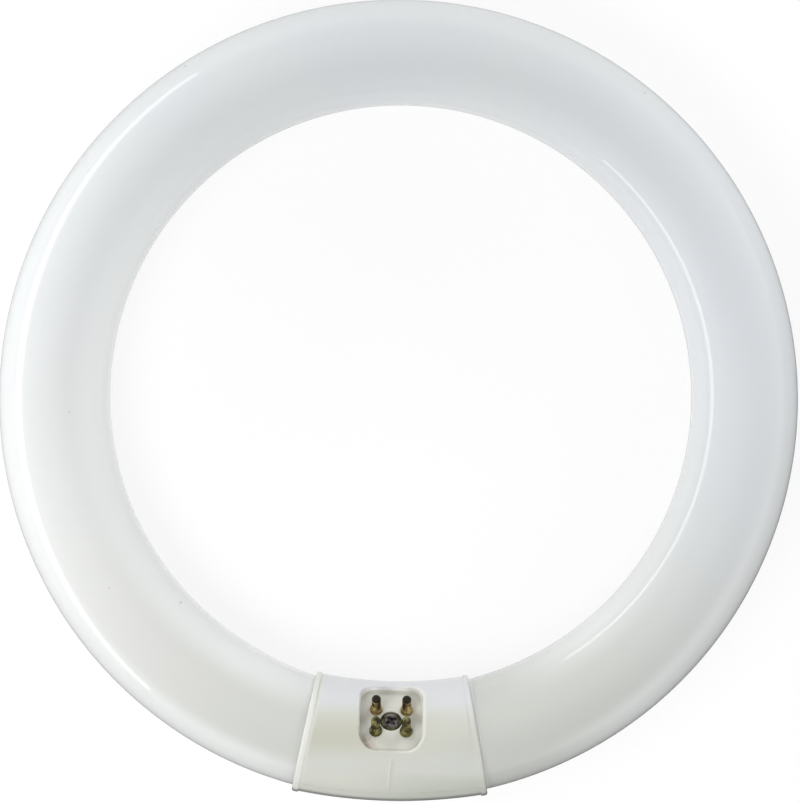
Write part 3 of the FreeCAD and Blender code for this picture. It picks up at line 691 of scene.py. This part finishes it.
# Painted highlight along the recess's rim on its right.
RIM_PAINTED_HIGHLIGHT = (0.74, 0.735, 0.67)
# Each pair is where a mask is none and where it is full, in metres. Two pairs are a rise and a fall.
CAP_LEFT = (12 * MM, -14 * MM)
YELLOWED_BAND = (-94.5 * MM, -88 * MM), (-79.0 * MM, -87 * MM)
# Where the painted sheen begins, towards the ring's centre.
PAINTED_SHEEN_SIDE = (-82.5 * MM, -77 * MM)
FOOT_SIDE = (-96 * MM, -99.5 * MM)
# Width of the painted light on the lips.
LIP_WIDTH = (-3.0 * MM, -1.4 * MM)
# Heights and side of the band of painted shade.
PAINTED_SHADE_HEIGHTS = (7.2 * MM, 4.6 * MM), (-3.0 * MM, 2.5 * MM)
PAINTED_SHADE_SIDE = (0, 4 * MM)
# Depth and wall-height steps that place the painted light in the recess and on the end faces; the depth step
# also bounds the browned corner.
INSIDE_DEPTH = (0.25 * MM, 0.8 * MM)
WALL_HEIGHT = (0.15 * MM, 1.2 * MM)
BURNT_MIDDLE = CAP_FRAME @ Vector((-7.4 * MM, -7.6 * MM, RECESS_FLOOR))
BURNT_REACH = (6.0 * MM, 0.5 * MM)
# Band of painted highlight along the recess's rim, and its limit to the right.
RIM_BAND = (-0.25 * MM, 0.15 * MM), (1.2 * MM, 0.5 * MM)
RIM_RIGHT = (-1 * MM, 6 * MM)
SEAM_TOP, SEAM_LEAN = -94 * MM, 0.06
SEAM_ENDS = (-92.2 * MM, -94.5 * MM), (-103 * MM, -100 * MM)
SEAM_WIDTH = (0.38 * MM, 0.1 * MM)
SEAM_SHADE = (0.1 * MM, 0.5 * MM), (1.6 * MM, 0.5 * MM)


# %% Cap plastic
def make_cap_plastic():
    material, shader, place = new_material("cap_plastic", {
        "Specular IOR Level": 0.5, "Subsurface Weight": 0.12, "Subsurface Scale": 1.5 * MM,
        "Subsurface Radius": (1.0, 0.9, 0.7)})
    side, back, up = place.part(0), place.part(1), place.part(2)
    on_left = side.smooth(*CAP_LEFT)
    patches = place.noise(scale=70, detail=3).smooth(0.35, 0.68)
    # Painted light on the lips, mostly on the left.
    lips_painted_light = past_cap_end(place).smooth(*LIP_WIDTH)
    across = on_plane(place).distance_to(CAP_BEND_CENTRE) - CAP_BEND
    # Painted shade along the outer face, by the parting line.
    painted_shade_band = up.between(*PAINTED_SHADE_HEIGHTS) * across.smooth(*PAINTED_SHADE_SIDE)
    # Places below the cap's outer surface, in the recess and on the end faces, get painted light.
    depth = CAP_OUTSIDE - (across * across + up * up).root()
    inside = depth.smooth(*INSIDE_DEPTH)
    wall = from_cap_level(place, CAP_UP, RECESS_FLOOR).smooth(*WALL_HEIGHT)
    stains = place.noise(scale=900, detail=3, seed=9.0).smooth(0.4, 0.6)
    burnt = place.distance_to(tuple(BURNT_MIDDLE)).smooth(*BURNT_REACH) * stains * inside
    # Painted highlight: a pale band along the recess's rim, on the right.
    rim = past_recess(place).between(*RIM_BAND) * side.smooth(*RIM_RIGHT)
    off_seam = side - (back - SEAM_TOP) * SEAM_LEAN
    along_seam = back.between(*SEAM_ENDS)
    # The seam's mask gives its bump and a painted highlight along it.
    seam = off_seam.size().smooth(*SEAM_WIDTH) * along_seam
    # Painted shade on the seam's right side.
    seam_painted_shade = off_seam.between(*SEAM_SHADE) * along_seam
    colour = washed(blend(patches * 0.5, CAP_PALE, CAP_COOL),
                    (back.between(*YELLOWED_BAND) * (on_left * 0.6 + 0.4), CAP_YELLOWED),
                    # Painted sheen on the side towards the ring's centre:
                    (back.smooth(*PAINTED_SHEEN_SIDE), CAP_PAINTED_SHEEN),
                    (back.smooth(*FOOT_SIDE), blend(on_left, CAP_FOOT_RIGHT, CAP_FOOT_LEFT)),
                    (lips_painted_light * (on_left * 0.9 + 0.1), CAP_PAINTED_LIGHT),
                    (painted_shade_band * 0.85, CAP_PAINTED_SHADE),
                    # Painted light in the recess and on the end faces:
                    (inside, blend(wall, RECESS_FLOOR_WARM_PAINTED_LIGHT, RECESS_WALL_PAINTED_LIGHT)),
                    (burnt * 0.6, RECESS_BURNT),
                    (rim * 0.6, RIM_PAINTED_HIGHLIGHT),
                    # Painted highlight along the seam:
                    (seam * 0.55, CAP_PAINTED_LIGHT),
                    # Painted shade beside the seam, in the yellowed tone:
                    (seam_painted_shade * 0.5, CAP_YELLOWED))
    feed(shader, "Base Color", colour)
    feed(shader, "Roughness", place.noise(scale=160, seed=2.0) * 0.14 + 0.30)
    grain = place.noise(scale=900, detail=3, seed=5.0) + place.noise(scale=120, detail=1, seed=6.0) * 2.0
    feed_bump(shader, grain * 0.12 + seam * 0.6, strength=0.8, distance=0.2 * MM)
    return material


dress([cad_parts["cap_front"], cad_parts["cap_back"]], make_cap_plastic())

# %% [markdown]
# ## Brass, steel and wire
# The pins are bare brass. The two towards the ring's centre are golden and brown, nearly black with
# solder at the tip, and a painted dark reflection lies on the faces that look at each other. The two
# nearer the outside are olive green with dark flux. The tarnish follows the pin: its height above the
# recess's floor picks the band, and noise breaks the bands up. The screw's head is stained grey steel
# with an olive rim.

# %% Metal colours and where they lie
BRASS = (0.60, 0.49, 0.23)
BRASS_GREEN = (0.35, 0.325, 0.13)
BRASS_OLIVE = (0.13, 0.13, 0.045)
BRASS_BROWN = (0.24, 0.16, 0.06)
SOLDER_DARK = (0.05, 0.043, 0.033)
STEEL = (0.30, 0.265, 0.27)
STEEL_STAINED = (0.10, 0.085, 0.085)
STEEL_OLIVE = (0.17, 0.17, 0.09)
STEEL_DARK = (0.08, 0.085, 0.045)
WIRE_BRIGHT = (0.50, 0.47, 0.43)
WIRE_DULL = (0.33, 0.30, 0.27)
# Each pair is where a mask is none and where it is full, in metres.
UPPER_ROW = (-0.5 * MM, 0.5 * MM)
TIP = (CRIMP_HEIGHT - 0.3 * MM, CRIMP_HEIGHT + 0.2 * MM)
NECK = (2.6 * MM, 3.2 * MM), (CRIMP_HEIGHT, CRIMP_HEIGHT - 0.8 * MM)
# Where the painted dark reflection lies on the upper pins' faces that look at each other.
PAINTED_DARK_FACES_SIDE, PAINTED_DARK_FACES_HEIGHT = (0.05 * MM, -0.55 * MM), (1.2 * MM, 1.9 * MM)
DARK_FOOT = (1.4 * MM, 0.8 * MM)
HEAD_MIDDLE = CAP_FRAME @ Vector((0, 0, HEAD_SEAT + HEAD_HEIGHT))
OLIVE_RIM = (1.6 * MM, 2.4 * MM)


# %% Metals
def make_pin_brass():
    material, shader, place = new_material("pin_brass", {"Metallic": 1.0})
    height = from_cap_level(place, CAP_UP, RECESS_FLOOR)
    upper_row = from_cap_level(place, CAP_ACROSS).smooth(*UPPER_ROW)
    tarnish = place.noise(scale=700, detail=4, roughness=0.6).smooth(0.38, 0.62)
    brown = place.noise(scale=380, detail=2, seed=4.0).smooth(0.45, 0.6)
    flux = place.noise(scale=520, detail=3, seed=12.0).smooth(0.46, 0.58)
    tip = height.smooth(*TIP) * upper_row
    # Painted dark reflection on the pins' faces that look at each other, in the solder's dark.
    beyond_pin_line = place.part(0).size() - PIN_PITCH_ALONG / 2
    pin_faces_painted_dark = beyond_pin_line.smooth(*PAINTED_DARK_FACES_SIDE) * height.smooth(*PAINTED_DARK_FACES_HEIGHT)
    upper = washed(blend(tarnish * 0.7, BRASS, BRASS_BROWN),
                   (height.between(*NECK) * flux, SOLDER_DARK),
                   (pin_faces_painted_dark * 0.85, SOLDER_DARK))
    lower = washed(blend(tarnish, BRASS_GREEN, BRASS_OLIVE),
                   (flux * 0.85, SOLDER_DARK),
                   (height.smooth(*DARK_FOOT) * 0.45, BRASS_OLIVE))
    colour = washed(blend(upper_row, lower, upper),
                    (brown * upper_row * 0.4, BRASS_BROWN),
                    (tip, SOLDER_DARK))
    feed(shader, "Base Color", colour)
    feed(shader, "Roughness", tarnish * 0.2 + 0.24 + tip * 0.15)
    feed_bump(shader, place.noise(scale=1500, detail=3, seed=8.0), strength=0.3, distance=0.08 * MM)
    return material


def make_screw_steel():
    material, shader, place = new_material("screw_steel", {"Metallic": 1.0})
    stain = place.noise(scale=600, detail=4, roughness=0.6).smooth(0.4, 0.6)
    on_rim = place.distance_to(tuple(HEAD_MIDDLE)).smooth(*OLIVE_RIM)
    colour = blend(stain, blend(on_rim, STEEL, STEEL_OLIVE), blend(on_rim, STEEL_STAINED, STEEL_DARK))
    feed(shader, "Base Color", colour)
    feed(shader, "Roughness", stain * 0.2 + 0.28)
    feed_bump(shader, place.noise(scale=2200, detail=2, seed=1.0), strength=0.25, distance=0.06 * MM)
    return material


def make_lead_wire():
    material, shader, place = new_material("lead_wire", {"Metallic": 1.0})
    dull = place.noise(scale=900, detail=3).smooth(0.4, 0.65)
    feed(shader, "Base Color", blend(dull, WIRE_BRIGHT, WIRE_DULL))
    feed(shader, "Roughness", dull * 0.2 + 0.3)
    return material


dress(pins, make_pin_brass())
dress([screw], make_screw_steel())
dress([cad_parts[f"lead_wire_{number}"] for number in range(1, 5)], make_lead_wire())

# %% [markdown]
# ## Floor and sky
# The photo's background is pure white with no edge. A white that comes from more light would burn out the
# glass, so the floor and the sky are only shown white: to the camera, and to what bends its view. The
# light that they give the part stays at a plain level. What the glass mirrors is set apart as well,
# because it draws the soft bands along the tube: a floor that is white within the ring and dimmer outside
# it, lighter towards the back left, under a sky of middle brightness. The floor keeps a share of its true
# shading, so the ring still stands on it with a faint shadow.

# %% Floor and sky
WHITE = (1, 1, 1, 1)
FLOOR_WHITE = (0.95, 0.95, 0.95, 1)
FLOOR_GAP = 0.02 * MM
FLOOR_HALF = 4.0
FLOOR_SHOWN_WHITE = 0.85
MIRRORED_DARK, MIRRORED_LIT = 0.015, 0.50
BACK_LEFT, BACK_LEFT_TURN = (-1, 1, 0), (-1.3, 1.1)
WITHIN_RING = (90 * MM, 70 * MM)
SKY_LEVEL, SKY_MIRRORED = 0.30, 0.64


def ray_kinds(start):
    """1 for camera rays and bent ones, else 0, and 1 for mirrored rays, else 0."""
    camera_ray, mirrored, bent = [start.node("ShaderNodeLightPath", output=name)
                                  for name in ("Is Camera Ray", "Is Glossy Ray", "Is Transmission Ray")]
    return camera_ray.at_least(bent), mirrored


def make_floor():
    mesh = bpy.data.meshes.new("floor")
    level = cad_low[2] - FLOOR_GAP
    corners = [(x * FLOOR_HALF, y * FLOOR_HALF, level) for x, y in ((-1, -1), (1, -1), (1, 1), (-1, 1))]
    mesh.from_pydata(corners, [], [(0, 1, 2, 3)])
    floor = bpy.data.objects.new("floor", mesh)
    bpy.context.scene.collection.objects.link(floor)
    material = bpy.data.materials.new("floor")
    material.use_nodes = True
    tree = material.node_tree
    tree.nodes.clear()
    start = Value(tree)
    seen, mirrored = ray_kinds(start)
    place = start.node("ShaderNodeTexCoord", output="Object")
    lit_side = place.unit().along(BACK_LEFT).smooth(*BACK_LEFT_TURN)
    outside = MIRRORED_DARK + lit_side * (MIRRORED_LIT - MIRRORED_DARK)
    brightness = seen + mirrored * outside.at_least(place.distance_to(RING_CENTRE).smooth(*WITHIN_RING))
    matt = start.node("ShaderNodeBsdfDiffuse", {}, {"Color": FLOOR_WHITE})
    white = start.node("ShaderNodeEmission", {}, {"Color": WHITE, "Strength": brightness})
    shown = start.node("ShaderNodeMixShader", {}, {0: seen * FLOOR_SHOWN_WHITE + mirrored, 1: matt, 2: white})
    output = tree.nodes.new("ShaderNodeOutputMaterial")
    tree.links.new(shown.socket, output.inputs["Surface"])
    mesh.materials.append(material)
    return floor


def make_sky():
    world = bpy.data.worlds.new("sky")
    bpy.context.scene.world = world
    world.use_nodes = True
    background = world.node_tree.nodes["Background"]
    seen, mirrored = ray_kinds(Value(world.node_tree))
    strength = SKY_LEVEL + seen * (1 - SKY_LEVEL) + mirrored * (SKY_MIRRORED - SKY_LEVEL)
    background.inputs["Color"].default_value = WHITE
    world.node_tree.links.new(strength.socket, background.inputs["Strength"])
    return world


floor = make_floor()
sky = make_sky()
print("stage:", floor.name, "and", sky.name)

# %% [markdown]
# ## Lamps
# The reflections in the glass tell where the photographer's lamps stood. A thin bright line on the
# right-hand inside and a broad soft one on the left-hand outside both mirror one long low strip close to
# the left. The photo shows no other clear reflection, so only the strip is mirrored. Four soft panels
# give the slow change of light round the ring: two low ones behind, one in front to the right, and one
# high in front to the left. Area lamps are the plain tool for each.

# %% Soft panels
STRIP_MIDDLE, STRIP_TARGET = (-0.29, 0.045, 0.070), (0, 0.045, 0.070)
STRIP_SIZE, PANEL_SIZE = (0.80, 0.060), (0.40, 0.20)


def add_panel(name, middle, size, radiance, target=RING_CENTRE, mirrored=False):
    """Add a rectangular lamp. A flat lamp of radiance L and area A gives the power pi L A."""
    data = bpy.data.lights.new(name, "AREA")
    data.shape = "RECTANGLE"
    data.size, data.size_y = size
    data.energy = math.pi * radiance * size[0] * size[1]
    lamp = bpy.data.objects.new(name, data)
    lamp.location = middle
    lamp.rotation_euler = (Vector(middle) - Vector(target)).to_track_quat("Z", "Y").to_euler()
    lamp.visible_glossy = mirrored
    bpy.context.scene.collection.objects.link(lamp)
    return lamp


lamps = [
    add_panel("left_strip", STRIP_MIDDLE, STRIP_SIZE, radiance=2.5, target=STRIP_TARGET, mirrored=True),
    add_panel("back_right_panel", (0.346, 0.346, 0.104), PANEL_SIZE, radiance=5.5),
    add_panel("back_left_panel", (-0.346, 0.346, 0.104), PANEL_SIZE, radiance=3.5),
    add_panel("front_right_panel", (0.290, -0.290, 0.287), PANEL_SIZE, radiance=1.9),
    add_panel("high_front_left_panel", (-0.177, -0.177, 0.433), PANEL_SIZE, radiance=6.4),
]
print("lamps:", [f"{lamp.name} {lamp.data.energy:.2f} W" for lamp in lamps])
